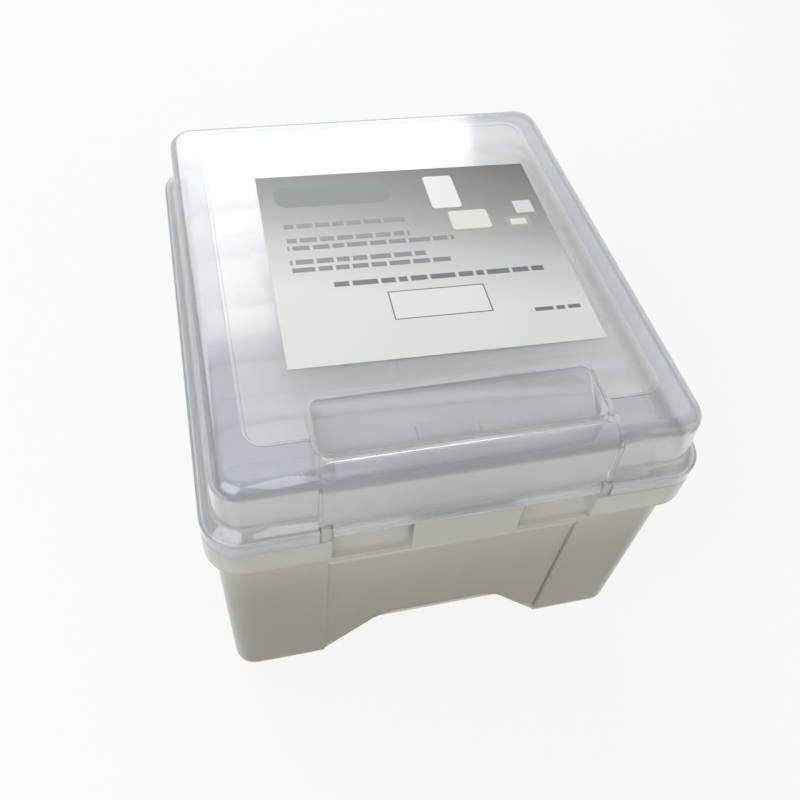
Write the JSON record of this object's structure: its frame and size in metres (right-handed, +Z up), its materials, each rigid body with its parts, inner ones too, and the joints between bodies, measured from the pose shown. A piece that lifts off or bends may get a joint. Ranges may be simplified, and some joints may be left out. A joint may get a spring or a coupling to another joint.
{
  "type": "photo keeper case",
  "caption": "Clear plastic keeper case with a back-hinged lid, front snap tab and finger pocket, holding a row of upright slim photo boxes, each a tray with its own hinged lid.",
  "frame": {"origin": "bottom centre of the closed case's box, on the surface it stands on", "axes": "+X to the right along the front, +Y from the front to the hinged back, +Z up"},
  "size_m": [0.185, 0.21, 0.14],
  "materials": {
    "case_plastic": "moulded natural polypropylene, milky clear",
    "lid_plastic": "moulded natural polypropylene, clear with a bluish cast",
    "box_tray_plastic": "thin moulded natural polypropylene",
    "box_lid_plastic": "thin moulded natural polypropylene",
    "label_card": null
  },
  "bodies": {
    "base": {"case_base": "case_plastic"},
    "lid": {"case_lid_skirt": "lid_plastic", "case_lid_top": "lid_plastic", "label_card": "label_card"},
    "tab": {"snap_tab": "lid_plastic"},
    "box_1": {"box_1_tray": "box_tray_plastic", "box_1_lid": "box_lid_plastic"},
    "box_2": {"box_2_tray": "box_tray_plastic", "box_2_lid": "box_lid_plastic"},
    "box_3": {"box_3_tray": "box_tray_plastic", "box_3_lid": "box_lid_plastic"},
    "box_4": {"box_4_tray": "box_tray_plastic", "box_4_lid": "box_lid_plastic"},
    "box_5": {"box_5_tray": "box_tray_plastic", "box_5_lid": "box_lid_plastic"},
    "box_6": {"box_6_tray": "box_tray_plastic", "box_6_lid": "box_lid_plastic"}
  },
  "joints": [
    {"name": "lid_hinge", "type": "hinge", "parent": "base", "child": "lid", "pos_m": [0, 0.1024, 0.10845], "axis": [-1, 0, 0], "range_deg": [0, 105]},
    {"name": "snap_tab_flex", "type": "hinge", "parent": "lid", "child": "tab", "pos_m": [0, -0.1042, 0.1105], "axis": [-1, 0, 0], "range_deg": [0, 25], "stiffness_Nm_per_rad": 0.05},
    {"name": "box_1_lift", "type": "slide", "parent": "base", "child": "box_1", "axis": [0, 0, 1], "range_m": [0, 0.006]},
    {"name": "box_2_lift", "type": "slide", "parent": "base", "child": "box_2", "axis": [0, 0, 1], "range_m": [0, 0.014]},
    {"name": "box_3_lift", "type": "slide", "parent": "base", "child": "box_3", "axis": [0, 0, 1], "range_m": [0, 0.014]},
    {"name": "box_4_lift", "type": "slide", "parent": "base", "child": "box_4", "axis": [0, 0, 1], "range_m": [0, 0.014]},
    {"name": "box_5_lift", "type": "slide", "parent": "base", "child": "box_5", "axis": [0, 0, 1], "range_m": [0, 0.014]},
    {"name": "box_6_lift", "type": "slide", "parent": "base", "child": "box_6", "axis": [0, 0, 1], "range_m": [0, 0.011]}
  ]
}
